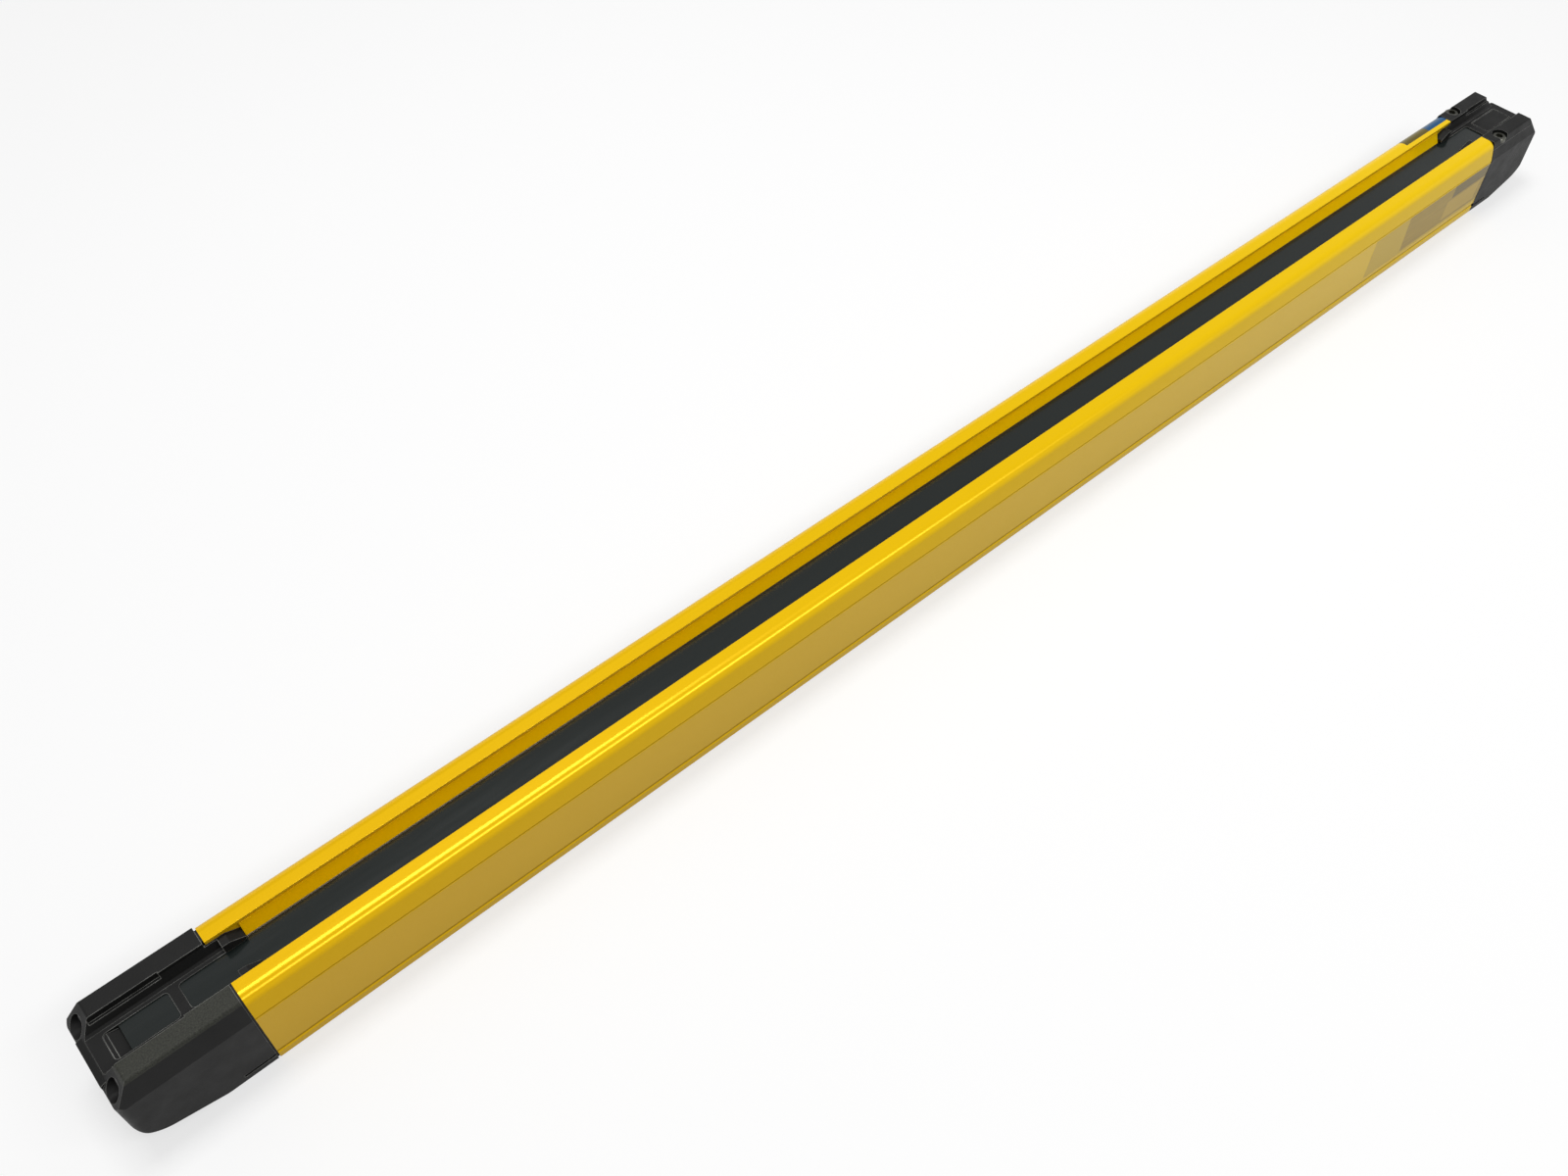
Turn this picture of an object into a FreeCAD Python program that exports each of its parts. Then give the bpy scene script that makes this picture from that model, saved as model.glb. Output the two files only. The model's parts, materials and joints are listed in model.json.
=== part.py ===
import FreeCAD, Part
import math
import os

# Safety light curtain bar, lying on its back with the window up (millimetres).
# +X runs along the bar from the near cap to the far cap, +Y across it, +Z out of the window.
# The origin is the middle of the back face. "Out" below is the distance from a cap's joint
# with the housing towards the end of the bar.

Vector = FreeCAD.Vector
ACROSS = Vector(0, 1, 0)
UP = Vector(0, 0, 1)
ALONG = Vector(1, 0, 0)
CENTRE = Vector(0, 0, 0)

# Bar
bar_length = 584.0
bar_width = 28.0
bar_height = 30.0
beam_pitch = 20.0
first_beam_inset = 14.5
last_beam_least_inset = 29.0
cap_length = 33.5
cut_margin = 2.0

# Housing section
side_wall = 1.6
floor_wall = 2.0
top_wall = 1.6
foot_radius = 0.5
shoulder_drop = 7.3
shoulder_inset = 1.9
shoulder_radius = 3.2
line_groove_depth = 0.3
clamp_groove_level = 2.5
clamp_groove_height = 1.6
clamp_groove_depth = 0.8
clamp_groove_flank = 1.4
rail_width = 7.4
lip_thickness = 0.9
lip_undercut = 0.35
lip_gap = 0.5
channel_depth = 5.0
channel_flank = 1.7
channel_wall = 1.4
ledge_thickness = 1.3
ledge_overhang = 0.4
board_rail_thickness = 0.8
board_rail_overlap = 0.6

# Window
window_thickness = 2.0
window_cover = 1.3
window_side_play = 0.15
far_window_out = 9.3
window_end_play = 0.2
seal_height = 0.8
seal_width = 1.1

# Screws and the ports that take them
screw_radius = 1.5
screw_head_radius = 2.5
screw_head_height = 2.0
screw_head_chamfer = 0.4
screw_socket_width = 2.5
screw_socket_depth = 1.2
thread_play = 0.05
screw_hole_play = 0.1
screw_head_play = 0.2
screw_bite = 8.0
port_wall = 0.8
upper_port_inset = 4.4
upper_port_drop = 4.7
lower_port_inset = 3.9
lower_port_level = 9.0

# End caps
gasket_thickness = 0.5
gasket_inset = 0.4
gasket_play = 0.3
cap_edge_radius = 0.7
cap_corner_radius = 2.2
near_slope_length = 5.2
near_slope_drop = 7.3
far_slope_length = 8.1
far_slope_drop = 10.6
nose_edge_length = 2.3
nose_edge_drop = 1.2
ramp_length = 21.5
ramp_rise = 5.4
ramp_corner_radius = 10.0
head_pocket_depth = 5.5
frame_height = 0.4
frame_ledge = 1.05
frame_corner_radius = 1.0
upper_step_width = 0.4
upper_step_drop = 2.2
upper_step_start = 11.6
upper_step_end_inset = 4.6
lower_step_width = 0.6
lower_step_rise = 1.0
tongue_length = 8.3
tongue_play = 0.1
tongue_bite = 0.3
tongue_root_length = 2.6
tongue_drop = 1.7
tongue_nose_length = 3.7
tongue_nose_drop = 1.8
tongue_corner_radius = 1.0
cap_slit_level = 2.1
cap_slit_length = 8.9
cap_slit_height = 0.9
cap_slit_depth = 0.8
cap_cavity_floor = 2.6
cap_cavity_play = 0.3
cavity_end_play = 0.9
far_end_wall = 9.0

# Indicator pane
pane_outer_margin = 5.2
pane_bridge = 2.7
pane_notch_length = 3.9
pane_notch_shallow = 0.2
pane_notch_deep = 1.1
pane_thickness = 1.5
pane_overlap = 0.8

# Far cap cover
cover_split_drop = 3.0
cover_floor_thickness = 1.9
cover_trough_wall = 1.2
cover_screw_out = 7.0
cover_screw_inset = 3.7
cover_recess_radius = 3.0
cover_recess_depth = 2.4
cover_head_radius = 2.6
cover_head_height = 1.7
cover_screw_radius = 1.25
cover_screw_length = 7.0
panel_start = 12.2
panel_end_inset = 5.4
panel_line_width = 0.4
panel_line_depth = 0.3

# Optics
lens_side_play = 0.5
lens_rise = 1.4
lens_end_rim = 0.6
lens_strip_thickness = 1.3
optics_side_play = 0.55
tunnel_rim = 0.4

# Boards
board_thickness = 1.6
board_side_margin = 0.2
element_length = 2.8
element_width = 2.6
element_height = 1.1
element_play = 0.2
main_board_level = 3.2
main_board_side_play = 1.9
main_board_length = 200.0
main_board_start = 12.0
spacer_width = 3.6
spacer_inset = 6.0
connector_length = 22.0
connector_width = 5.0
connector_height = 3.2
chip_size = 9.0
chip_height = 1.3
chip_count = 3
chip_pitch = 34.0
chip_start = 60.0
capacitor_radius = 1.1
capacitor_length = 7.0
capacitor_count = 2
capacitor_inset = 4.7

# Status lamps
lamp_count = 3
lamp_size = 1.2
lamp_height = 0.7
lamp_board_thickness = 0.9
lamp_board_side_play = 0.3
lamp_board_length = 2.3
lamp_board_play = 0.25

# Cable socket and link port
socket_drop = 14.5
socket_bore_radius = 5.0
socket_wall = 0.9
socket_bore_depth = 6.0
socket_base = 1.2
socket_hole_play = 0.05
insert_radius = 3.9
insert_play = 0.05
insert_flange_step = 0.9
contact_count = 5
contact_circle_radius = 2.4
contact_radius = 0.45
contact_tail = 0.5
seal_groove_depth = 0.4
seal_groove_width = 1.0
seal_groove_inset = 1.6
plug_play = 0.1
plug_slot_width = 1.0
plug_slot_depth = 0.8

# Levels that follow
shoulder_level = bar_height - shoulder_drop
lip_bottom = bar_height - lip_thickness
wall_top = lip_bottom - lip_gap
window_level = bar_height - channel_depth
window_bottom = window_level - window_thickness
seat_level = window_bottom - seal_height
ledge_bottom = seat_level - ledge_thickness
frame_level = window_level + frame_height
upper_step_level = bar_height - upper_step_drop
lower_step_level = window_level + lower_step_rise
tongue_top_level = bar_height - tongue_drop
cover_split_level = bar_height - cover_split_drop
lens_strip_level = ledge_bottom - lens_strip_thickness
main_board_top = main_board_level + board_thickness
sensor_board_level = main_board_top + connector_height
sensor_board_top = sensor_board_level + board_thickness
pane_bottom = window_level - pane_thickness
upper_port_level = bar_height - upper_port_drop
socket_level = bar_height - socket_drop

# Half widths that follow
half_width = bar_width / 2
inner_half_width = half_width - side_wall
shoulder_half_width = half_width - shoulder_inset
shoulder_lean = shoulder_inset / shoulder_drop
channel_half_width = half_width - rail_width
channel_floor_half_width = channel_half_width - channel_flank
window_half_width = channel_floor_half_width + window_cover
slot_half_width = window_half_width + window_side_play
chamber_half_width = slot_half_width + channel_wall
beam_gap_half_width = channel_floor_half_width - ledge_overhang
upper_step_half_width = channel_half_width + upper_step_width
lower_step_half_width = channel_floor_half_width + lower_step_width
frame_half_width = channel_floor_half_width - frame_ledge
tongue_half_width = channel_half_width + tongue_bite
upper_port_y = half_width - upper_port_inset
lower_port_y = half_width - lower_port_inset
cover_screw_y = half_width - cover_screw_inset
optics_half_width = chamber_half_width - optics_side_play
lens_half_width = beam_gap_half_width - lens_side_play
board_half_width = optics_half_width + board_side_margin
main_board_half_width = inner_half_width - main_board_side_play
cap_cavity_half_width = board_half_width + cap_cavity_play
lamp_board_half_width = beam_gap_half_width - lamp_board_side_play
lamp_pitch = 2 * lamp_board_half_width / lamp_count
capacitor_y = main_board_half_width - capacitor_inset

# Places along the bar
near_end_x = -bar_length / 2
far_end_x = bar_length / 2
near_joint_x = near_end_x + cap_length
far_joint_x = far_end_x - cap_length
beam_span = bar_length - first_beam_inset - last_beam_least_inset
beam_count = int(beam_span / beam_pitch) + 1
first_beam_x = near_end_x + first_beam_inset
last_beam_x = first_beam_x + (beam_count - 1) * beam_pitch
first_beam_out = cap_length - first_beam_inset
pane_start_out = first_beam_out - lens_half_width - lamp_board_length - 2 * lamp_board_play
pane_end_out = first_beam_out + pane_outer_margin
pane_notch_end = pane_end_out + pane_notch_length
near_window_out = pane_start_out - pane_bridge
near_cavity_out = first_beam_out + lens_half_width + lens_end_rim + cavity_end_play
near_end_wall = cap_length - near_cavity_out
far_cavity_out = cap_length - far_end_wall
optics_start_x = first_beam_x - lens_half_width - lens_end_rim
optics_end_x = last_beam_x + lens_half_width + lens_end_rim


# ---------------------------------------------------------------- outlines and simple solids
def across_up(x):
    return lambda y, z: Vector(x, y, z)


def along_up(y):
    return lambda x, z: Vector(x, y, z)


def along_across(z):
    return lambda x, y: Vector(x, y, z)


def rounded_face(corners, place):
    """A flat face from corners (a, b, radius); a radius above 0 rounds that corner."""
    count = len(corners)
    joints = []
    for index in range(count):
        a, b, radius = corners[index]
        corner = Vector(a, b, 0)
        before = Vector(corners[index - 1][0], corners[index - 1][1], 0) - corner
        after = Vector(corners[(index + 1) % count][0], corners[(index + 1) % count][1], 0) - corner
        if radius <= 0:
            joints.append((corner, None, corner))
            continue
        half_angle = before.getAngle(after) / 2
        before.normalize()
        after.normalize()
        reach = radius / math.tan(half_angle)
        middle_way = (before + after).normalize()
        middle = corner + middle_way * (radius / math.sin(half_angle) - radius)
        joints.append((corner + before * reach, middle, corner + after * reach))
    edges = []
    for index in range(count):
        start, middle, end = [p and place(p.x, p.y) for p in joints[index]]
        if middle:
            edges.append(Part.Arc(start, middle, end).toShape())
        following = joints[(index + 1) % count][0]
        edges.append(Part.makeLine(end, place(following.x, following.y)))
    return Part.Face(Part.Wire(edges))


def mirrored(right_side):
    """Closes an outline that is given from bottom to top on the +Y side only."""
    return right_side + [(-a, b, radius) for a, b, radius in reversed(right_side)]


def sharp(points):
    return [(a, b, 0) for a, b in points]


def prism_along(corners, start_x, end_x):
    return rounded_face(corners, across_up(start_x)).extrude(ALONG * (end_x - start_x))


def hexagon(across_flats, z):
    radius = across_flats / 2 / math.cos(math.pi / 6)
    turns = [index * math.pi / 3 for index in range(6)]
    corners = [(radius * math.cos(turn), radius * math.sin(turn)) for turn in turns]
    return rounded_face(sharp(corners), along_across(z))


def box(x_range, y_range, z_range):
    low = Vector(x_range[0], y_range[0], z_range[0])
    return Part.makeBox(
        x_range[1] - x_range[0], y_range[1] - y_range[0], z_range[1] - z_range[0], low)


def rod_along(radius, start_x, end_x, y, z):
    return Part.makeCylinder(radius, end_x - start_x, Vector(start_x, y, z), ALONG)


def rod_up(radius, x, y, start_z, end_z):
    return Part.makeCylinder(radius, end_z - start_z, Vector(x, y, start_z), UP)


def both_sides(shape):
    return [shape, shape.mirror(CENTRE, ACROSS)]


def at_near_end(shape):
    return shape.mirror(CENTRE, ALONG).translated(Vector(near_joint_x, 0, 0))


def at_far_end(shape):
    return shape.translated(Vector(far_joint_x, 0, 0))


# ---------------------------------------------------------------- housing
def outer_corners(inset, top_radius, bottom_radius):
    return mirrored([
        (half_width - inset, inset, bottom_radius),
        (half_width - inset, shoulder_level, 0),
        (shoulder_half_width - inset, bar_height - inset, top_radius),
    ])


def clamp_groove_corners():
    """The groove low on each side face, where the mounting clamps grip."""
    top = clamp_groove_level + clamp_groove_height
    slope = clamp_groove_flank / clamp_groove_depth
    return sharp([
        (half_width + cut_margin, clamp_groove_level - cut_margin * slope),
        (half_width - clamp_groove_depth, clamp_groove_level + clamp_groove_flank),
        (half_width - clamp_groove_depth, top),
        (half_width + cut_margin, top),
    ])


def channel_corners():
    """The open channel between the rails, with the slots that hold the window's edges."""
    return mirrored(sharp([
        (beam_gap_half_width, ledge_bottom - cut_margin),
        (beam_gap_half_width, seat_level),
        (slot_half_width, seat_level),
        (slot_half_width, window_level),
        (channel_floor_half_width, window_level),
        (channel_half_width, wall_top),
        (channel_half_width + lip_undercut, wall_top),
        (channel_half_width + lip_undercut, lip_bottom),
        (channel_half_width, lip_bottom),
        (channel_half_width, bar_height + cut_margin),
    ]))


def chamber_corners():
    """The hollow inside: one wide room below the ledges and a side room up each rail."""
    top = bar_height - top_wall
    lean_in = shoulder_lean * (top - shoulder_level)
    return mirrored(sharp([
        (inner_half_width, floor_wall),
        (inner_half_width, shoulder_level),
        (inner_half_width - lean_in, top),
        (chamber_half_width, top),
        (chamber_half_width, ledge_bottom),
    ]))


def ports():
    return [(upper_port_y, upper_port_level), (lower_port_y, lower_port_level)]


def line_groove_corners():
    """The thin line along each side face, just under the shoulder."""
    reach = cut_margin + line_groove_depth
    return sharp([
        (half_width + cut_margin, shoulder_level - reach),
        (half_width - line_groove_depth, shoulder_level),
        (half_width + cut_margin, shoulder_level + reach),
    ])


def housing_extrusion():
    start, end = near_joint_x, far_joint_x
    port_radius = screw_radius + thread_play
    rail = box(
        (start, end),
        (board_half_width - board_rail_overlap, inner_half_width),
        (sensor_board_level - board_rail_thickness, sensor_board_level))
    additions = both_sides(rail)
    holes = both_sides(prism_along(clamp_groove_corners(), start, end))
    holes += both_sides(prism_along(line_groove_corners(), start, end))
    for y, z in ports():
        additions += both_sides(rod_along(port_radius + port_wall, start, end, y, z))
        holes += both_sides(rod_along(port_radius, start, end, y, z))
    notch_length = tongue_length + tongue_play
    notch_half_width = tongue_half_width + tongue_play
    for low_x, high_x in ((start, start + notch_length), (end - notch_length, end)):
        holes.append(box(
            (low_x, high_x), (-notch_half_width, notch_half_width), (window_level, wall_top)))
    body = prism_along(outer_corners(0, shoulder_radius, foot_radius), start, end)
    body = body.cut([
        prism_along(chamber_corners(), start, end),
        prism_along(channel_corners(), start, end),
    ])
    return body.fuse(additions).cut(holes).removeSplitter()


# ---------------------------------------------------------------- window
def front_window():
    return box(
        (near_joint_x - near_window_out, far_joint_x + far_window_out),
        (-window_half_width, window_half_width), (window_bottom, window_level))


def window_seal():
    return box(
        (near_joint_x - near_window_out, far_joint_x + far_window_out),
        (window_half_width - seal_width, window_half_width), (seat_level, window_bottom))


# ---------------------------------------------------------------- end caps
def end_nose():
    """The middle of a cap's end, which stands out past the slope of the rails."""
    start = cap_length - far_slope_length
    bottom = bar_height - far_slope_drop - cap_edge_radius
    return rounded_face(sharp([
        (start, bottom),
        (cap_length, bottom),
        (cap_length, frame_level - nose_edge_drop),
        (cap_length - nose_edge_length, frame_level),
        (start, frame_level),
    ]), along_up(-channel_half_width)).extrude(ACROSS * (2 * channel_half_width))


def cap_block(slope_length, slope_drop):
    """The outer form of a cap: section, side view and plan cut into each other, and the nose."""
    section = prism_along(
        outer_corners(0, cap_edge_radius, foot_radius), gasket_thickness, cap_length)
    side_view = rounded_face([
        (-cut_margin, 0, 0),
        (cap_length - ramp_length, 0, 0),
        (cap_length, ramp_rise, ramp_corner_radius),
        (cap_length, bar_height - slope_drop, cap_edge_radius),
        (cap_length - slope_length, bar_height, cap_edge_radius),
        (-cut_margin, bar_height, 0),
    ], along_up(-half_width)).extrude(ACROSS * bar_width)
    plan = rounded_face([
        (-cut_margin, -half_width, 0),
        (cap_length, -half_width, cap_corner_radius),
        (cap_length, half_width, cap_corner_radius),
        (-cut_margin, half_width, 0),
    ], along_across(0)).extrude(UP * bar_height)
    return section.common(side_view).common(plan).fuse(end_nose())


def channel_recess(start_out, end_out):
    """The channel through a cap, with the small steps down its walls."""
    top = bar_height + cut_margin
    walls = prism_along(mirrored(sharp([
        (channel_floor_half_width, frame_level),
        (lower_step_half_width, lower_step_level),
        (channel_half_width, wall_top),
        (channel_half_width, top),
    ])), start_out, end_out)
    wide = box(
        (upper_step_start, cap_length - upper_step_end_inset),
        (-upper_step_half_width, upper_step_half_width), (upper_step_level, top))
    return walls.fuse(wide)


def frame_opening(start_out, end_out, low_z, high_z):
    return rounded_face([
        (start_out, -frame_half_width, frame_corner_radius if start_out > 0 else 0),
        (end_out, -frame_half_width, frame_corner_radius),
        (end_out, frame_half_width, frame_corner_radius),
        (start_out, frame_half_width, frame_corner_radius if start_out > 0 else 0),
    ], along_across(low_z)).extrude(UP * (high_z - low_z))


def tongue():
    """The block that a cap reaches into the housing's channel, over the window's edge."""
    low = window_level + tongue_play
    side_view = rounded_face([
        (-tongue_length, low, tongue_corner_radius),
        (-tongue_root_length, low, 0),
        (-tongue_root_length, tongue_top_level, 0),
        (-tongue_length + tongue_nose_length, tongue_top_level, tongue_corner_radius),
        (-tongue_length, tongue_top_level - tongue_nose_drop, tongue_corner_radius / 2),
    ], along_up(frame_half_width))
    block = side_view.extrude(ACROSS * (tongue_half_width - frame_half_width))
    root = box(
        (-tongue_root_length, gasket_thickness), (frame_half_width, tongue_half_width),
        (low, tongue_top_level))
    return block.fuse(root.cut(channel_recess(-tongue_length, cap_length)))


def cap_slit():
    return box(
        (-cut_margin, cap_slit_length),
        (half_width - cap_slit_depth, half_width + cut_margin),
        (cap_slit_level, cap_slit_level + cap_slit_height))


def window_pocket(window_out):
    """Room for the window's end and the seals under it, and the gap its beams pass."""
    end = window_out + window_end_play
    plate = box((-cut_margin, end), (-slot_half_width, slot_half_width), (seat_level, window_level))
    gap = box(
        (-cut_margin, end), (-beam_gap_half_width, beam_gap_half_width),
        (ledge_bottom - cut_margin, seat_level))
    return plate.fuse(gap)


def cap_cavity(end_out):
    return box(
        (-cut_margin, end_out), (-cap_cavity_half_width, cap_cavity_half_width),
        (cap_cavity_floor, ledge_bottom))


def screw_passage(y, z):
    """A through hole for a cap screw, with the wide pocket for its head at the end."""
    floor = cap_length - head_pocket_depth
    shank = rod_along(screw_radius + screw_hole_play, -cut_margin, floor, y, z)
    pocket = rod_along(
        screw_head_radius + screw_head_play, floor, cap_length + cut_margin, y, z)
    return shank.fuse(pocket)


def socket_passage(wall):
    """The stepped hole through a cap's end wall that holds the socket."""
    outer = socket_bore_radius + socket_wall + socket_hole_play
    seat = cap_length - socket_bore_depth - socket_base
    wide = rod_along(outer, seat, cap_length + cut_margin, 0, socket_level)
    narrow = rod_along(
        insert_radius + insert_flange_step + insert_play, cap_length - wall - cut_margin, seat,
        0, socket_level)
    return wide.fuse(narrow)


def pane_plate():
    return box(
        (pane_start_out - pane_overlap, pane_end_out),
        (-frame_half_width - pane_overlap, frame_half_width + pane_overlap),
        (pane_bottom, window_level))


def pane_notch():
    """The sloping hollow past the end of the pane, deepest beside it."""
    return rounded_face(sharp([
        (pane_end_out, window_level - pane_notch_deep),
        (pane_notch_end - frame_corner_radius, window_level - pane_notch_shallow),
        (pane_notch_end - frame_corner_radius, frame_level),
        (pane_end_out, frame_level),
    ]), along_up(-frame_half_width)).extrude(ACROSS * (2 * frame_half_width))


def near_end_cap():
    body = cap_block(near_slope_length, near_slope_drop)
    body = body.cut(channel_recess(-cut_margin, cap_length + cut_margin))
    pane_gap = box(
        (pane_start_out, pane_end_out), (-beam_gap_half_width, beam_gap_half_width),
        (ledge_bottom, pane_bottom))
    holes = [
        window_pocket(near_window_out),
        frame_opening(-cut_margin, near_window_out, window_level, frame_level),
        frame_opening(pane_start_out, pane_notch_end, window_level, frame_level),
        pane_plate(),
        pane_gap,
        pane_notch(),
        cap_cavity(near_cavity_out),
        socket_passage(near_end_wall),
    ]
    for y, z in ports():
        holes += both_sides(screw_passage(y, z))
    holes += both_sides(cap_slit())
    return body.cut(holes).fuse(both_sides(tongue())).removeSplitter()


def cover_zone():
    """The part of the far cap that belongs to its cover: the rail tops and the trough."""
    wall_half_width = upper_step_half_width + cover_trough_wall
    top = bar_height + cut_margin
    rails = box(
        (-cut_margin, cap_length + cut_margin), (-bar_width, bar_width), (cover_split_level, top))
    walls = box(
        (-cut_margin, cap_length + cut_margin), (-wall_half_width, wall_half_width),
        (window_level, top))
    floor = box(
        (far_window_out + window_end_play, cap_length + cut_margin),
        (-wall_half_width, wall_half_width),
        (frame_level - cover_floor_thickness, top))
    return rails.fuse([walls, floor])


def far_cap_cover():
    """The moulded cover of the far cap, with a plain panel where the near cap has its pane."""
    body = cap_block(far_slope_length, far_slope_drop).common(cover_zone())
    body = body.cut(channel_recess(-cut_margin, cap_length + cut_margin))
    panel_end = cap_length - panel_end_inset
    low = frame_level - panel_line_depth
    outline = frame_opening(panel_start, panel_end, low, frame_level + panel_line_depth)
    inside = box(
        (panel_start + panel_line_width, panel_end - panel_line_width),
        (-frame_half_width + panel_line_width, frame_half_width - panel_line_width),
        (low, frame_level + panel_line_depth))
    recess = rod_up(
        cover_recess_radius, cover_screw_out, cover_screw_y,
        bar_height - cover_recess_depth, bar_height + cut_margin)
    hole = rod_up(
        cover_screw_radius + screw_hole_play, cover_screw_out, cover_screw_y,
        cover_split_level - cut_margin, bar_height)
    holes = [outline.cut(inside), frame_opening(-cut_margin, far_window_out, window_level, frame_level)]
    holes += both_sides(recess) + both_sides(hole)
    return body.cut(holes).fuse(both_sides(tongue())).removeSplitter()


def far_end_cap():
    pilot_end = bar_height - cover_recess_depth - cover_screw_length
    pilot = rod_up(
        cover_screw_radius + thread_play, cover_screw_out, cover_screw_y,
        pilot_end, cover_split_level + cut_margin)
    holes = [
        cover_zone(),
        window_pocket(far_window_out),
        cap_cavity(far_cavity_out),
        socket_passage(far_end_wall),
    ]
    holes += both_sides(screw_passage(lower_port_y, lower_port_level))
    holes += both_sides(pilot) + both_sides(cap_slit())
    return cap_block(far_slope_length, far_slope_drop).cut(holes).removeSplitter()


def cap_gasket():
    """The thin rubber sheet between a cap and the housing, set in from the outer skin."""
    sheet = prism_along(
        outer_corners(gasket_inset, shoulder_radius - gasket_inset, 0), 0, gasket_thickness)
    room = inner_half_width - gasket_play
    clear_half_width = chamber_half_width - gasket_play
    middle = box(
        (-cut_margin, cut_margin), (-room, room), (floor_wall + gasket_play, ledge_bottom))
    opening = box(
        (-cut_margin, cut_margin), (-clear_half_width, clear_half_width),
        (ledge_bottom - cut_margin, bar_height + cut_margin))
    hole = rod_along(
        screw_radius + screw_hole_play, -cut_margin, cut_margin, upper_port_y, upper_port_level)
    return sheet.cut([middle, opening] + both_sides(hole))


# ---------------------------------------------------------------- indicator pane and lamps
def indicator_pane():
    return at_near_end(pane_plate())


def lamp_board_range():
    start = pane_start_out + lamp_board_play
    return (start, start + lamp_board_length)


def lamp_places():
    middle = sum(lamp_board_range()) / 2
    first = -(lamp_count - 1) * lamp_pitch / 2
    return [(middle, first + index * lamp_pitch) for index in range(lamp_count)]


def indicator_board():
    return at_near_end(box(
        lamp_board_range(), (-lamp_board_half_width, lamp_board_half_width),
        (ledge_bottom, ledge_bottom + lamp_board_thickness)))


def status_lamps():
    low = ledge_bottom + lamp_board_thickness
    half = lamp_size / 2
    lamps = [
        box((x - half, x + half), (y - half, y + half), (low, low + lamp_height))
        for x, y in lamp_places()]
    return at_near_end(Part.makeCompound(lamps))


def light_guide():
    """A clear bar under the pane with a foot on each lamp."""
    low = ledge_bottom + lamp_board_thickness + lamp_height
    return at_near_end(box(
        lamp_board_range(), (-lamp_board_half_width, lamp_board_half_width), (low, pane_bottom)))


# ---------------------------------------------------------------- optics
def beam_places():
    return [first_beam_x + index * beam_pitch for index in range(beam_count)]


def lens_barrel(place, run):
    """A rounded ridge as wide as a lens; two of them crossed make its pillow-shaped face."""
    ends = [place(-lens_half_width, ledge_bottom), place(lens_half_width, ledge_bottom)]
    crown = Part.Arc(ends[0], place(0, ledge_bottom + lens_rise), ends[1]).toShape()
    profile = Part.Face(Part.Wire([crown, Part.makeLine(ends[1], ends[0])]))
    ridge = profile.extrude(run * (2 * lens_half_width))
    return ridge.translated(run * -lens_half_width)


def lens_array():
    """One clear strip with a pillow-shaped lens for each beam."""
    strip = box(
        (optics_start_x, optics_end_x), (-optics_half_width, optics_half_width),
        (lens_strip_level, ledge_bottom))
    lens = lens_barrel(along_up(0), ACROSS).common(lens_barrel(across_up(0), ALONG))
    return strip.fuse([lens.translated(ALONG * x) for x in beam_places()]).removeSplitter()


def beam_tunnels():
    """The black optical block: a square funnel from each lens down to its element."""
    block = box(
        (optics_start_x, optics_end_x), (-optics_half_width, optics_half_width),
        (sensor_board_top, lens_strip_level))
    foot_x = element_length / 2 + element_play
    foot_y = element_width / 2 + element_play
    mouth = lens_half_width - tunnel_rim
    funnel = Part.makeWedge(
        -foot_x, sensor_board_top, -foot_y, -mouth, -mouth,
        foot_x, lens_strip_level, foot_y, mouth, mouth)
    funnel.rotate(CENTRE, ALONG, 90)
    return block.cut([funnel.translated(Vector(x, 0, 0)) for x in beam_places()])


def photo_elements():
    element = box(
        (-element_length / 2, element_length / 2), (-element_width / 2, element_width / 2),
        (sensor_board_top, sensor_board_top + element_height))
    return Part.makeCompound([element.translated(Vector(x, 0, 0)) for x in beam_places()])


# ---------------------------------------------------------------- boards
def sensor_board():
    return box(
        (optics_start_x, optics_end_x), (-board_half_width, board_half_width),
        (sensor_board_level, sensor_board_top))


def main_board_range():
    start = near_joint_x + main_board_start
    return (start, start + main_board_length)


def main_board():
    return box(
        main_board_range(), (-main_board_half_width, main_board_half_width),
        (main_board_level, main_board_top))


def board_spacers():
    start, end = main_board_range()
    y = main_board_half_width - spacer_inset
    post = hexagon(spacer_width, floor_wall).extrude(UP * (main_board_level - floor_wall))
    posts = []
    for x in (start + spacer_inset, (start + end) / 2, end - spacer_inset):
        posts += both_sides(post.translated(Vector(x, y, 0)))
    return Part.makeCompound(posts)


def board_connector():
    start = main_board_range()[0] + spacer_inset
    return box(
        (start, start + connector_length),
        (-connector_width / 2, connector_width / 2),
        (main_board_top, sensor_board_level))


def controller_chips():
    start = main_board_range()[0] + chip_start
    half = chip_size / 2
    chips = []
    for index in range(chip_count):
        middle = start + index * chip_pitch
        chips.append(box(
            (middle - half, middle + half), (-half, half),
            (main_board_top, main_board_top + chip_height)))
    return Part.makeCompound(chips)


def capacitors():
    start = main_board_range()[0] + chip_start
    cans = []
    for index in range(capacitor_count):
        x = start + (index + 0.5) * chip_pitch
        cans.append(rod_along(
            capacitor_radius, x, x + capacitor_length, capacitor_y, main_board_top + capacitor_radius))
    return Part.makeCompound(cans)


# ---------------------------------------------------------------- screws
def screw(length, shank_radius, head_radius, head_height):
    """A socket screw standing on its tip, with the seat of its head at the origin."""
    profile = rounded_face(sharp([
        (0, -length),
        (shank_radius, -length),
        (shank_radius, 0),
        (head_radius, 0),
        (head_radius, head_height - screw_head_chamfer),
        (head_radius - screw_head_chamfer, head_height),
        (0, head_height),
    ]), along_up(0))
    body = profile.revolve(CENTRE, UP, 360)
    socket = hexagon(screw_socket_width, head_height - screw_socket_depth)
    return body.cut(socket.extrude(UP * (screw_socket_depth + cut_margin)))


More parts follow.
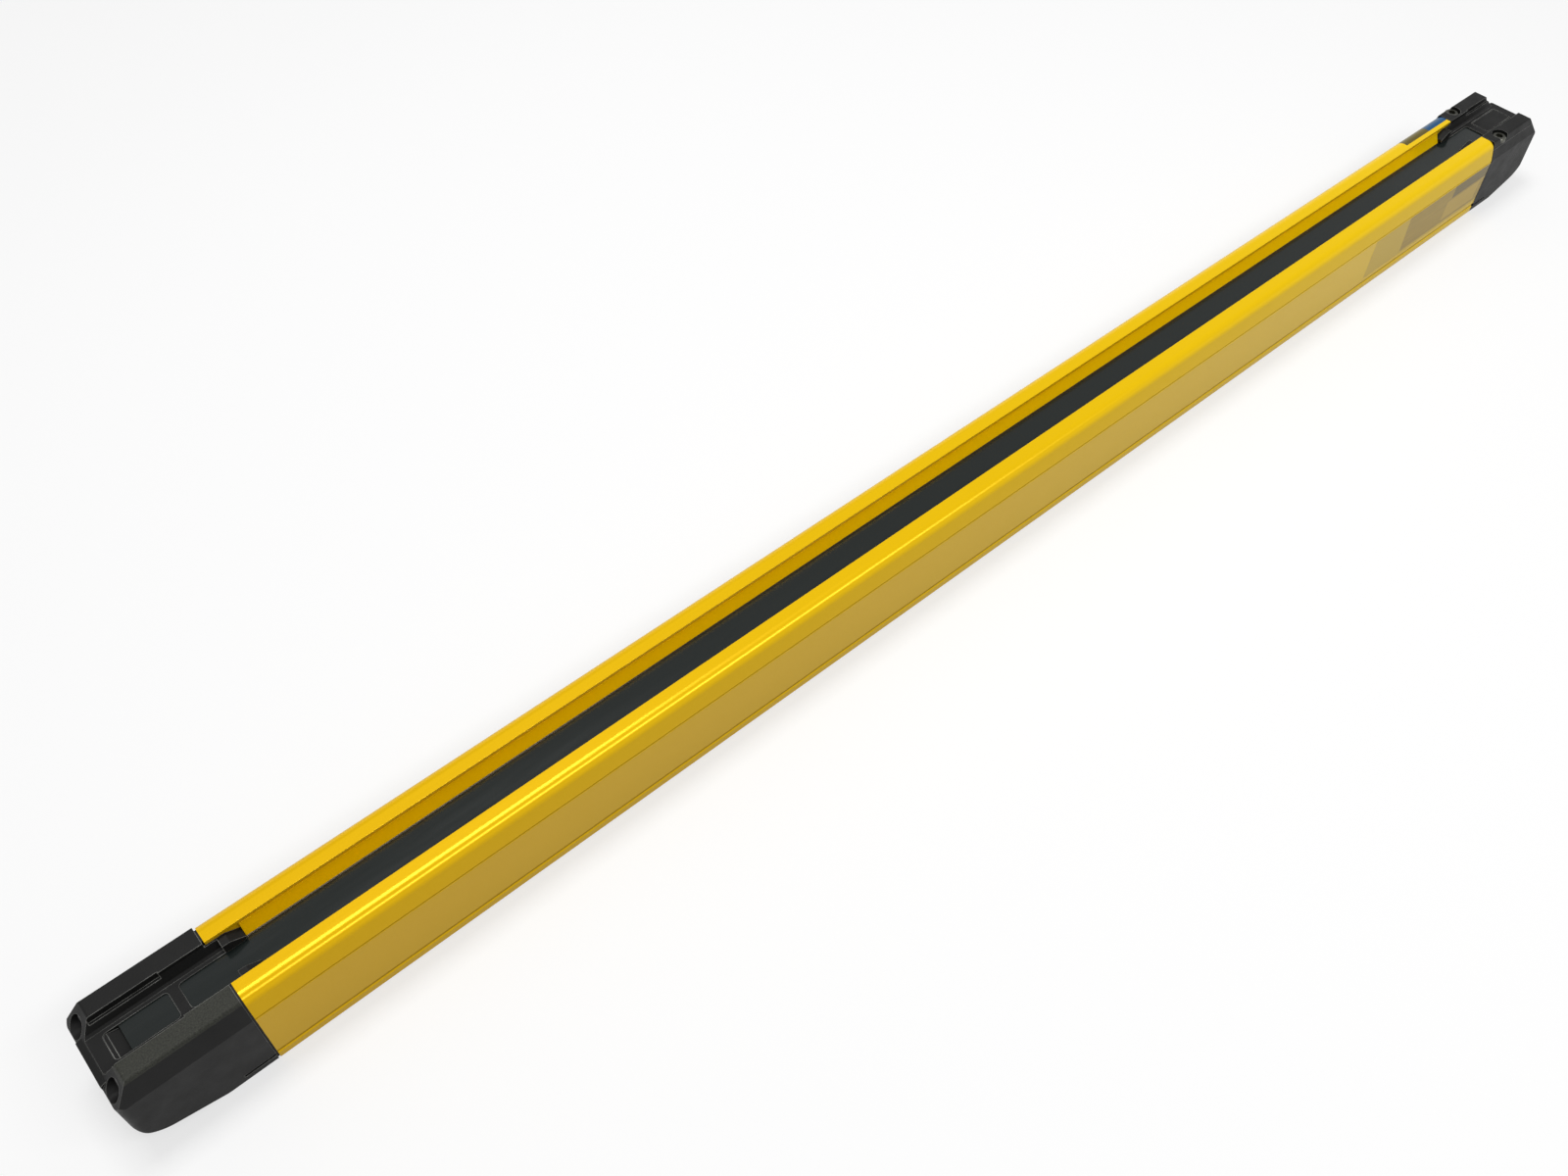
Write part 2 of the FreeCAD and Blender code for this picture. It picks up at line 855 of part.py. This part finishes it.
def cap_screw(y, z):
    seat = cap_length - head_pocket_depth
    length = seat + screw_bite
    placed = screw(length, screw_radius, screw_head_radius, screw_head_height)
    placed.rotate(CENTRE, ACROSS, 90)
    return placed.translated(Vector(seat, y, z))


def near_cap_screws():
    screws = []
    for y, z in ports():
        screws += both_sides(cap_screw(y, z))
    return at_near_end(Part.makeCompound(screws))


def far_cap_screws():
    return at_far_end(Part.makeCompound(both_sides(cap_screw(lower_port_y, lower_port_level))))


def cover_screws():
    placed = screw(cover_screw_length, cover_screw_radius, cover_head_radius, cover_head_height)
    placed = placed.translated(Vector(cover_screw_out, cover_screw_y, bar_height - cover_recess_depth))
    return at_far_end(Part.makeCompound(both_sides(placed)))


# ---------------------------------------------------------------- sockets
def socket_shell():
    outer = socket_bore_radius + socket_wall
    seat = cap_length - socket_bore_depth - socket_base
    shell = rod_along(outer, seat, cap_length, 0, socket_level)
    bore = rod_along(socket_bore_radius, cap_length - socket_bore_depth, cap_length, 0, socket_level)
    hole = rod_along(insert_radius + insert_play, seat - cut_margin, cap_length, 0, socket_level)
    groove_start = cap_length - seal_groove_inset - seal_groove_width
    groove = rod_along(outer + cut_margin, groove_start, groove_start + seal_groove_width, 0, socket_level)
    core = rod_along(outer - seal_groove_depth, groove_start, groove_start + seal_groove_width, 0, socket_level)
    return shell.cut([bore, hole, groove.cut(core)])


def socket_seal():
    outer = socket_bore_radius + socket_wall
    start = cap_length - seal_groove_inset - seal_groove_width
    ring = rod_along(outer, start, start + seal_groove_width, 0, socket_level)
    core = rod_along(outer - seal_groove_depth, start, start + seal_groove_width, 0, socket_level)
    return ring.cut(core)


def contact_places():
    places = []
    for index in range(contact_count):
        turn = math.pi / 2 + index * 2 * math.pi / contact_count
        places.append((
            contact_circle_radius * math.cos(turn),
            socket_level + contact_circle_radius * math.sin(turn)))
    return places


def socket_insert():
    seat = cap_length - socket_bore_depth - socket_base
    body = rod_along(insert_radius, seat, cap_length - socket_bore_depth, 0, socket_level)
    flange = rod_along(
        insert_radius + insert_flange_step, cap_length - near_end_wall, seat, 0, socket_level)
    holes = [
        rod_along(contact_radius, cap_length - near_end_wall - cut_margin, cap_length, y, z)
        for y, z in contact_places()]
    return body.fuse(flange).cut(holes).removeSplitter()


def socket_contacts():
    start = cap_length - near_end_wall - contact_tail
    end = cap_length - socket_bore_depth - contact_tail
    return Part.makeCompound([
        rod_along(contact_radius, start, end, y, z) for y, z in contact_places()])


def link_port_plug():
    plug = rod_along(
        socket_bore_radius - plug_play, cap_length - socket_bore_depth, cap_length, 0, socket_level)
    slot = box(
        (cap_length - plug_slot_depth, cap_length + cut_margin),
        (-plug_slot_width / 2, plug_slot_width / 2),
        (socket_level - bar_width, socket_level + bar_width))
    return at_far_end(plug.cut(slot))


# ---------------------------------------------------------------- export
def pieces():
    seals = both_sides(window_seal())
    return {
        "housing_extrusion": housing_extrusion(),
        "front_window": front_window(),
        "window_seal_left": seals[0],
        "window_seal_right": seals[1],
        "near_end_cap": at_near_end(near_end_cap()),
        "far_end_cap": at_far_end(far_end_cap()),
        "far_cap_cover": at_far_end(far_cap_cover()),
        "near_cap_gasket": at_near_end(cap_gasket()),
        "far_cap_gasket": at_far_end(cap_gasket()),
        "near_cap_screws": near_cap_screws(),
        "far_cap_screws": far_cap_screws(),
        "cover_screws": cover_screws(),
        "indicator_pane": indicator_pane(),
        "indicator_board": indicator_board(),
        "status_lamps": status_lamps(),
        "light_guide": light_guide(),
        "lens_array": lens_array(),
        "beam_tunnels": beam_tunnels(),
        "photo_elements": photo_elements(),
        "sensor_board": sensor_board(),
        "main_board": main_board(),
        "board_spacers": board_spacers(),
        "board_connector": board_connector(),
        "controller_chips": controller_chips(),
        "capacitors": capacitors(),
        "cable_socket": at_near_end(socket_shell()),
        "cable_socket_seal": at_near_end(socket_seal()),
        "cable_socket_insert": at_near_end(socket_insert()),
        "cable_socket_contacts": at_near_end(socket_contacts()),
        "link_socket": at_far_end(socket_shell()),
        "link_port_plug": link_port_plug(),
    }


os.makedirs("parts", exist_ok=True)
for name, shape in pieces().items():
    shape.exportStep("parts/" + name + ".step")
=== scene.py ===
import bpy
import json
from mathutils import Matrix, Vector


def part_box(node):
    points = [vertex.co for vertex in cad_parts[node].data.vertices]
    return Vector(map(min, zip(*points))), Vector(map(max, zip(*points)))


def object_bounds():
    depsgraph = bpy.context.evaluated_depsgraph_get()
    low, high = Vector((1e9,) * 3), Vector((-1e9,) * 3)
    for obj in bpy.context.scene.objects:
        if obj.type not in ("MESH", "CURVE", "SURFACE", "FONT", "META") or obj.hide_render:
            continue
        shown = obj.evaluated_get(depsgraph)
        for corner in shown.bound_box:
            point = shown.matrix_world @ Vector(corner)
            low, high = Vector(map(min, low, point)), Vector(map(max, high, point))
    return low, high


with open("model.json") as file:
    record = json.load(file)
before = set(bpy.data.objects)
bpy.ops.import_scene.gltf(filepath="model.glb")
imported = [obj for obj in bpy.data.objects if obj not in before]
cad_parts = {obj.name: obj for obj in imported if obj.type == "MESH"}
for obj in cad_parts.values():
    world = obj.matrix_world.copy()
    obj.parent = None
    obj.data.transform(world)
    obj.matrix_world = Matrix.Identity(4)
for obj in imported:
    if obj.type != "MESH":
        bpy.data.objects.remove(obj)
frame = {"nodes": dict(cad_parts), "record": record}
import json
import math

import bpy
from mathutils import Matrix, Vector

# Looks, light and camera for the safety light curtain bar. Metres, in the frame's own axes:
# +X along the bar from the near cap to the far cap, +Y across it, +Z out of the window.

MM = 0.001
cad_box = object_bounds()
housing_low, housing_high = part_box("housing_extrusion")
half_width = housing_high[1]
near_end = housing_low[0]
far_end = housing_high[0]

# Camera, at the photograph's viewing angle
camera_place = Vector((-0.254048, -0.191916, 0.342438))
camera_target = Vector((-0.083513, 0.002069, 0.025))
camera_lens = 32.966
camera_sensor = 36.0
camera_roll = 0.506

# Grooves along the side faces, darkened with painted shade
line_level = 22.7 * MM
line_half_height = 0.2 * MM
clamp_groove_low = 2.5 * MM
clamp_groove_high = 4.1 * MM
clamp_groove_floor = half_width - 0.25 * MM
flank_depth = 0.9 * MM

# The near cap's near rail, painted paler along its top as a painted lamp reflection
painted_sheen_inner = -6 * MM
painted_sheen_low = housing_high[2] - 1.2 * MM

# Label fields near the far end of the housing: a clear film on the near side face, on it a panel
# with a dark band and a pale block, and a field on the far rail. Lengths run back from the end.
film_length = 74 * MM
film_low = 5.6 * MM
film_high = 22.2 * MM
panel_length = 51 * MM
panel_low = 6.6 * MM
panel_lean = 0.08
band_length = 23 * MM
band_low = 16.9 * MM
block_length = 25 * MM
block_end_gap = 3 * MM
block_low = panel_low + 1.2 * MM
block_high = band_low - 0.8 * MM
rail_label_length = 26.5 * MM
rail_label_blue = 11.8 * MM
rail_label_inner = 8.4 * MM
rail_label_low = 26.5 * MM
label_soft = 0.05 * MM
label_face_depth = 0.3 * MM

# Floor and backdrop
floor_drop = 0.2 * MM
backdrop_radius = 3.2
backdrop_height = 1.5
backdrop_corner = 1.2
shadow_reach = 0.4
white_reach = 1.2
floor_seen = (0.39, 0.39, 0.39, 1)
floor_unseen = (0.14, 0.14, 0.14, 1)
floor_glow = 0.6

# Light
world_strength = 0.42
overhead_place = (-0.05, 0.3, 1.3)
overhead_target = (-0.05, 0.3, 0)
near_lamp_place = (0.3, -0.95, 1.3)
near_lamp_target = (0.2, 0, 0)


# ---------------------------------------------------------------- node helpers
class Nodes:
    """A material's node tree, with the few node types that the looks below use."""

    def __init__(self, name):
        self.material = bpy.data.materials.new(name)
        self.material.use_nodes = True
        self.tree = self.material.node_tree
        self.shader = self.tree.nodes["Principled BSDF"]
        self.coordinates = self.tree.nodes.new("ShaderNodeTexCoord").outputs["Object"]

    def set(self, socket, value):
        """Feeds a socket of the main shader with a link or a constant."""
        self.feed(self.shader.inputs[socket], value)

    def feed(self, socket, value):
        if isinstance(value, bpy.types.NodeSocket):
            self.tree.links.new(value, socket)
        else:
            socket.default_value = value

    def axes(self):
        """The object's own x, y and z."""
        node = self.tree.nodes.new("ShaderNodeSeparateXYZ")
        self.feed(node.inputs[0], self.coordinates)
        return node.outputs

    def stretched(self, scale):
        node = self.tree.nodes.new("ShaderNodeMapping")
        self.feed(node.inputs["Vector"], self.coordinates)
        node.inputs["Scale"].default_value = scale
        return node.outputs["Vector"]

    def noise(self, scale, detail=2.0, roughness=0.5, stretch=(1, 1, 1)):
        """Noise of so many waves a metre, times the stretch along each axis."""
        node = self.tree.nodes.new("ShaderNodeTexNoise")
        self.feed(node.inputs["Vector"], self.stretched(stretch))
        node.inputs["Scale"].default_value = scale
        node.inputs["Detail"].default_value = detail
        node.inputs["Roughness"].default_value = roughness
        return node.outputs["Fac"]

    def math(self, operation, a, b=0.0):
        node = self.tree.nodes.new("ShaderNodeMath")
        node.operation = operation
        self.feed(node.inputs[0], a)
        self.feed(node.inputs[1], b)
        return node.outputs[0]

    def product(self, first, *others):
        """The product, which for masks is where all of them hold."""
        for other in others:
            first = self.math("MULTIPLY", first, other)
        return first

    def above(self, value, level):
        return self.math("GREATER_THAN", value, level)

    def below(self, value, level):
        return self.math("LESS_THAN", value, level)

    def ramp(self, value, from_low, from_high, to_low, to_high):
        node = self.tree.nodes.new("ShaderNodeMapRange")
        self.feed(node.inputs["Value"], value)
        node.inputs["From Min"].default_value = from_low
        node.inputs["From Max"].default_value = from_high
        node.inputs["To Min"].default_value = to_low
        node.inputs["To Max"].default_value = to_high
        return node.outputs["Result"]

    def between(self, value, low, high, soft):
        """1 where the value lies between low and high, with edges as soft as given."""
        rise = self.ramp(value, low - soft, low + soft, 0.0, 1.0)
        fall = self.ramp(value, high - soft, high + soft, 1.0, 0.0)
        return self.math("MULTIPLY", rise, fall)

    def mix(self, share, a, b):
        node = self.tree.nodes.new("ShaderNodeMix")
        node.data_type = "RGBA"
        self.feed(node.inputs["Factor"], share)
        self.feed(node.inputs[6], a)
        self.feed(node.inputs[7], b)
        return node.outputs[2]

    def edges(self, radius):
        """1 along edges, where a rounded normal leans away from the face's own."""
        rounded = self.tree.nodes.new("ShaderNodeBevel")
        rounded.samples = 6
        rounded.inputs["Radius"].default_value = radius
        own = self.tree.nodes.new("ShaderNodeNewGeometry").outputs["Normal"]
        dot = self.tree.nodes.new("ShaderNodeVectorMath")
        dot.operation = "DOT_PRODUCT"
        self.feed(dot.inputs[0], rounded.outputs["Normal"])
        self.feed(dot.inputs[1], own)
        return self.ramp(dot.outputs["Value"], 0.98, 0.85, 0.0, 1.0)

    def bump(self, height, distance, strength=1.0, edge_radius=0.0):
        """A bump from a height map, over edges that a small radius softens."""
        node = self.tree.nodes.new("ShaderNodeBump")
        node.inputs["Distance"].default_value = distance
        node.inputs["Strength"].default_value = strength
        self.feed(node.inputs["Height"], height)
        if edge_radius:
            edges = self.tree.nodes.new("ShaderNodeBevel")
            edges.samples = 6
            edges.inputs["Radius"].default_value = edge_radius
            self.feed(node.inputs["Normal"], edges.outputs["Normal"])
        self.feed(self.shader.inputs["Normal"], node.outputs["Normal"])


def rgb(red, green, blue):
    """An sRGB colour, 0 to 255, as the linear colour that shaders take."""
    parts = [value / 255 for value in (red, green, blue)]
    linear = [p / 12.92 if p <= 0.04045 else ((p + 0.055) / 1.055) ** 2.4 for p in parts]
    return (*linear, 1.0)


# ---------------------------------------------------------------- the housing's paint
def dusty_yellow_painted_far_light(n):
    """Yellow with painted light, lighter towards the far end where more light falls; it also drifts
    a little and carries some dust.
    """
    x, y, z = n.axes()
    drift = n.noise(9.0, 3.0, 0.6, stretch=(0.6, 2.0, 2.0))
    # Painted light: the yellow ramps lighter from the near end to the far end.
    along = n.ramp(x, near_end, far_end, -0.2, 0.8)
    shade = n.math("ADD", along, n.product(drift, 0.4))
    dust = n.ramp(n.noise(260.0, 6.0, 0.7), 0.62, 0.8, 0.0, 0.25)
    return n.mix(dust, n.mix(shade, rgb(240, 190, 0), rgb(255, 212, 0)), rgb(220, 180, 30))


def painted_groove_shade(n):
    """Mask of the painted shade: the line groove, and the floor of the clamp groove, on both side
    faces.
    """
    x, y, z = n.axes()
    out = n.math("ABSOLUTE", y)
    line = n.between(z, line_level - line_half_height, line_level + line_half_height, 0.08 * MM)
    clamp = n.between(z, clamp_groove_low, clamp_groove_high, 0.15 * MM)
    clamp_floor = n.product(clamp, n.below(out, clamp_groove_floor), 0.6)
    return n.product(n.above(out, half_width - flank_depth),
                     n.math("MAXIMUM", n.product(line, 0.55), clamp_floor))


def side_labels(n, paint):
    """The near side face's label fields over the paint. Also gives the film's mask."""
    x, y, z = n.axes()
    side = n.below(y, -half_width + label_face_depth)

    def field(low, high, along):
        return n.product(side, n.between(z, low, high, label_soft), along)

    def from_end(position, length, edge):
        return n.ramp(position, far_end - length, far_end - length + edge, 0.0, 1.0)

    film = field(film_low, film_high, from_end(x, film_length, 0.1 * MM))
    paint = n.mix(n.product(film, 0.4), paint, rgb(160, 136, 60))

    leaning = n.math("ADD", x, n.product(z, panel_lean))
    panel = field(panel_low, film_high, from_end(leaning, panel_length, 0.4 * MM))
    flecks = n.noise(380.0, 4.0, 0.7, stretch=(0.15, 1.0, 3.0))
    wear_and_edge_highlight = n.mix(flecks, rgb(122, 98, 30), rgb(200, 160, 40))
    paint = n.mix(n.product(panel, 0.8), paint, wear_and_edge_highlight)

    band = field(band_low, film_high, from_end(x, band_length, 0.2 * MM))
    paint = n.mix(n.product(band, 0.85), paint, rgb(98, 80, 36))

    block = field(block_low, block_high, n.between(
        x, far_end - block_length, far_end - block_end_gap, 0.1 * MM))
    return n.mix(n.product(block, 0.55), paint, rgb(226, 186, 60)), film


def rail_label(n, paint):
    """The far rail's field, olive and then blue at the cap. Also gives its mask."""
    x, y, z = n.axes()
    label = n.product(n.above(y, rail_label_inner), n.above(z, rail_label_low),
                      n.above(x, far_end - rail_label_length))
    blue = n.above(x, far_end - rail_label_blue)
    return n.mix(label, paint, n.mix(blue, rgb(104, 92, 42), rgb(24, 84, 132))), label


def yellow_paint():
    """Gloss yellow paint with a satin glint and fine streaks along the extrusion."""
    n = Nodes("yellow_paint")
    # Painted shade: the grooves darkened to brown over the paint.
    paint = n.mix(painted_groove_shade(n), dusty_yellow_painted_far_light(n), rgb(112, 76, 0))
    paint, film = side_labels(n, paint)
    paint, label = rail_label(n, paint)
    n.set("Base Color", paint)

    streaks = n.noise(900.0, 3.0, 0.6, stretch=(0.02, 1.0, 1.0))
    n.set("Roughness", n.ramp(streaks, 0.0, 1.0, 0.2, 0.28))
    n.set("Metallic", 0.2)
    n.set("Specular IOR Level", 0.25)
    n.set("Specular Tint", (1.0, 0.95, 0.6, 1.0))

    orange_peel = n.noise(700.0, 2.0, 0.5, stretch=(0.5, 1.0, 1.0))
    skin = n.math("ADD", n.product(orange_peel, 0.15), n.product(streaks, 0.1))
    stuck_on = n.product(n.math("MAXIMUM", film, label), 2.0)
    n.bump(n.math("ADD", skin, stuck_on), 0.02 * MM, 0.6, 0.12 * MM)
    return n.material


# ---------------------------------------------------------------- the other materials
def moulded_plastic(name, light, dark, roughness):
    """Matte moulded plastic with a fine spark-eroded grain, a painted reflection on the near cap's
    near rail top and painted highlights that make its edges greyer.
    """
    n = Nodes(name)
    x, y, z = n.axes()
    grain = n.noise(2600.0, 3.0, 0.65)
    mottle = n.math("ADD", n.product(n.noise(60.0, 4.0, 0.6), 0.5), n.product(grain, 0.5))
    # Painted reflection: the near cap's near rail top lightened to a grainy grey.
    painted_sheen = n.product(n.below(y, painted_sheen_inner), n.below(x, near_end), n.above(z, painted_sheen_low),
                       n.ramp(grain, 0.35, 0.65, 0.3, 1.0))
    body = n.mix(painted_sheen, n.mix(mottle, light, dark), rgb(64, 65, 58))
    # Painted highlight: edges lightened to grey, broken up by noise.
    wear_and_edge_highlight = n.product(n.edges(0.3 * MM), n.ramp(n.noise(150.0, 3.0), 0.35, 0.65, 0.4, 1.0))
    n.set("Base Color", n.mix(wear_and_edge_highlight, body, rgb(150, 150, 146)))
    patches = n.noise(140.0, 3.0, 0.6)
    n.set("Roughness", n.ramp(patches, 0.3, 0.7, roughness - 0.06, roughness + 0.06))
    n.set("Specular IOR Level", 0.17)
    n.bump(grain, 0.06 * MM, 0.55, 0.15 * MM)
    return n.material


def window_plastic():
    """Dark tinted plastic, smooth but for faint wiping marks along the bar."""
    n = Nodes("smoked_window")
    wipes = n.noise(120.0, 5.0, 0.7, stretch=(0.08, 1.0, 1.0))
    specks = n.ramp(n.noise(900.0, 3.0, 0.8), 0.72, 0.8, 0.0, 0.12)
    n.set("Base Color", n.mix(specks, rgb(23, 29, 28), rgb(120, 122, 124)))
    n.set("Roughness", n.ramp(wipes, 0.3, 0.7, 0.1, 0.22))
    n.bump(n.noise(30.0, 2.0, 0.5, stretch=(0.2, 1.0, 1.0)), 0.03 * MM, 0.3, 0.1 * MM)
    return n.material


def rubber():
    """Dull black rubber with a fine skin."""
    n = Nodes("rubber")
    n.set("Base Color", n.mix(n.noise(200.0, 3.0, 0.6), rgb(28, 28, 28), rgb(40, 39, 37)))
    n.set("Roughness", 0.75)
    n.bump(n.noise(1800.0, 3.0, 0.6), 0.05 * MM, 0.5)
    return n.material


def metal(name, light, dark, roughness):
    """Turned metal, with fine tool marks and a little tarnish."""
    n = Nodes(name)
    n.set("Metallic", 1.0)
    n.set("Base Color", n.mix(n.noise(300.0, 4.0, 0.7), light, dark))
    marks = n.noise(1500.0, 2.0, 0.6, stretch=(3.0, 0.3, 0.3))
    n.set("Roughness", n.ramp(marks, 0.2, 0.8, roughness - 0.08, roughness + 0.12))
    n.bump(marks, 0.02 * MM, 0.4, 0.08 * MM)
    return n.material


def circuit_board():
    """Green solder mask with paler tracks."""
    n = Nodes("board_green")
    tracks = n.ramp(n.noise(420.0, 1.0, 0.4, stretch=(1.0, 2.5, 1.0)), 0.48, 0.52, 0.0, 1.0)
    n.set("Base Color", n.mix(tracks, rgb(18, 78, 44), rgb(30, 104, 60)))
    n.set("Roughness", 0.35)
    n.set("Coat Weight", 0.3)
    n.bump(tracks, 0.03 * MM, 0.4)
    return n.material


def clear_plastic():
    """Clear acrylic of the lenses and the light guide."""
    n = Nodes("clear_plastic")
    n.set("Base Color", n.mix(n.noise(90.0), rgb(226, 230, 232), rgb(240, 242, 243)))
    n.set("Transmission Weight", 0.9)
    n.set("IOR", 1.49)
    n.set("Roughness", n.ramp(n.noise(600.0, 3.0), 0.3, 0.7, 0.03, 0.1))
    n.bump(n.noise(500.0, 2.0), 0.01 * MM, 0.3)
    return n.material


def frosted_lens():
    """Milky plastic of the status lamps."""
    n = Nodes("lamp_lens")
    n.set("Base Color", n.mix(n.noise(700.0, 3.0), rgb(214, 214, 196), rgb(236, 236, 222)))
    n.set("Roughness", 0.5)
    n.set("Subsurface Weight", 0.2)
    n.set("Subsurface Radius", (0.4 * MM, 0.4 * MM, 0.3 * MM))
    n.bump(n.noise(2500.0, 2.0), 0.02 * MM, 0.5)
    return n.material


def looks():
    """One material for each material slot of the record."""
    return {
        "yellow_paint": yellow_paint(),
        "smoked_window": window_plastic(),
        "cap_plastic": moulded_plastic("cap_plastic", rgb(31, 31, 30), rgb(18, 18, 18), 0.5),
        "black_plastic": moulded_plastic("black_plastic", rgb(24, 24, 24), rgb(19, 19, 20), 0.45),
        "element_dark": moulded_plastic("element_dark", rgb(34, 34, 38), rgb(22, 22, 26), 0.3),
        "rubber": rubber(),
        "dark_steel": metal("dark_steel", rgb(74, 74, 72), rgb(52, 52, 52), 0.4),
        "bright_steel": metal("bright_steel", rgb(108, 108, 100), rgb(84, 84, 78), 0.38),
        "socket_metal": metal("socket_metal", rgb(196, 196, 192), rgb(170, 170, 166), 0.25),
        "contact_brass": metal("contact_brass", rgb(226, 194, 110), rgb(206, 170, 90), 0.22),
        "capacitor_sleeve": metal("capacitor_sleeve", rgb(150, 152, 158), rgb(120, 122, 128), 0.35),
        "board_green": circuit_board(),
        "clear_plastic": clear_plastic(),
        "lamp_lens": frosted_lens(),
    }


def dress_nodes():
    """Gives every CAD node the material of its slot."""
    materials = looks()
    for part in frame["record"]["subparts"]:
        piece = frame["nodes"][part["node"]]
        piece.data.materials.clear()
        piece.data.materials.append(materials[part["material_slot"]])


# ---------------------------------------------------------------- floor, light and camera
def backdrop_rings(steps=8):
    """Radius and height of the rings that carry the floor over a round corner into a wall."""
    flat = backdrop_radius - backdrop_corner
    yield flat, 0.0
    for step in range(1, steps + 1):
        angle = math.radians(90 * step / steps)
        yield (flat + backdrop_corner * math.sin(angle),
               backdrop_corner * (1 - math.cos(angle)))
    yield backdrop_radius, backdrop_height


def backdrop_mesh(sides=64):
    """A round floor whose rim turns up, from the middle outwards."""
    level = cad_box[0][2] - floor_drop
    points = [(0.0, 0.0, level)]
    for radius, height in backdrop_rings():
        for side in range(sides):
            angle = math.tau * side / sides
            points.append((radius * math.cos(angle), radius * math.sin(angle), level + height))
    faces = [(0, 1 + side, 1 + (side + 1) % sides) for side in range(sides)]
    for start in range(1, len(points) - sides, sides):
        for side in range(sides):
            a, b = start + side, start + (side + 1) % sides
            faces.append((a, b, b + sides, a + sides))
    mesh = bpy.data.meshes.new("floor")
    mesh.from_pydata(points, [], faces)
    mesh.shade_smooth()
    return mesh


def floor_white():
    """White where it is seen, with a shadow near the bar, and dull to the light it throws back."""
    n = Nodes("floor")
    x, y, z = n.axes()
    path = n.tree.nodes.new("ShaderNodeLightPath").outputs
    seen = n.math("MAXIMUM", path["Is Camera Ray"], n.math(
        "MAXIMUM", path["Is Glossy Ray"], path["Is Transmission Ray"]))
    reach = n.math("SQRT", n.math("ADD", n.product(x, x), n.product(y, y)))
    lit = n.mix(n.ramp(reach, shadow_reach, white_reach, 0.0, 1.0), floor_seen, (0, 0, 0, 1))
    glow = n.ramp(reach, shadow_reach, white_reach, floor_glow, 1.0)
    n.set("Base Color", n.mix(seen, floor_unseen, lit))
    n.set("Emission Color", (1.0, 1.0, 1.0, 1.0))
    n.set("Emission Strength", n.product(seen, glow))
    n.set("Roughness", 0.9)
    n.set("Specular IOR Level", 0.0)
    return n.material


def white_floor():
    floor = bpy.data.objects.new("floor", backdrop_mesh())
    bpy.context.scene.collection.objects.link(floor)
    floor.data.materials.append(floor_white())


def aim(place, target):
    """The turn that points an object's -Z from its place to the target."""
    return (Vector(place) - Vector(target)).to_track_quat("Z", "Y")


def soft_lamp(name, place, target, width, height, power):
    data = bpy.data.lights.new(name, "AREA")
    data.shape = "RECTANGLE"
    data.size = width
    data.size_y = height
    data.energy = power
    lamp = bpy.data.objects.new(name, data)
    bpy.context.scene.collection.objects.link(lamp)
    lamp.location = place
    lamp.rotation_euler = aim(place, target).to_euler()


def studio_light():
    """An even white surround, a lamp overhead and a long one over the near side."""
    world = bpy.data.worlds.new("studio")
    bpy.context.scene.world = world
    world.use_nodes = True
    background = world.node_tree.nodes["Background"]
    background.inputs["Color"].default_value = (1.0, 1.0, 1.0, 1.0)
    background.inputs["Strength"].default_value = world_strength
    soft_lamp("overhead", overhead_place, overhead_target, width=0.6, height=0.36, power=7.8)
    soft_lamp("near_side", near_lamp_place, near_lamp_target, width=1.3, height=0.26, power=9.8)


def photo_camera():
    data = bpy.data.cameras.new("camera")
    data.lens = camera_lens
    data.sensor_width = camera_sensor
    data.clip_start = 0.01
    camera = bpy.data.objects.new("camera", data)
    bpy.context.scene.collection.objects.link(camera)
    turn = aim(camera_place, camera_target).to_matrix().to_4x4()
    roll = Matrix.Rotation(math.radians(camera_roll), 4, "Z")
    camera.matrix_world = Matrix.Translation(camera_place) @ turn @ roll
    bpy.context.scene.camera = camera


bpy.context.scene.view_settings.view_transform = "Standard"
dress_nodes()
white_floor()
studio_light()
photo_camera()
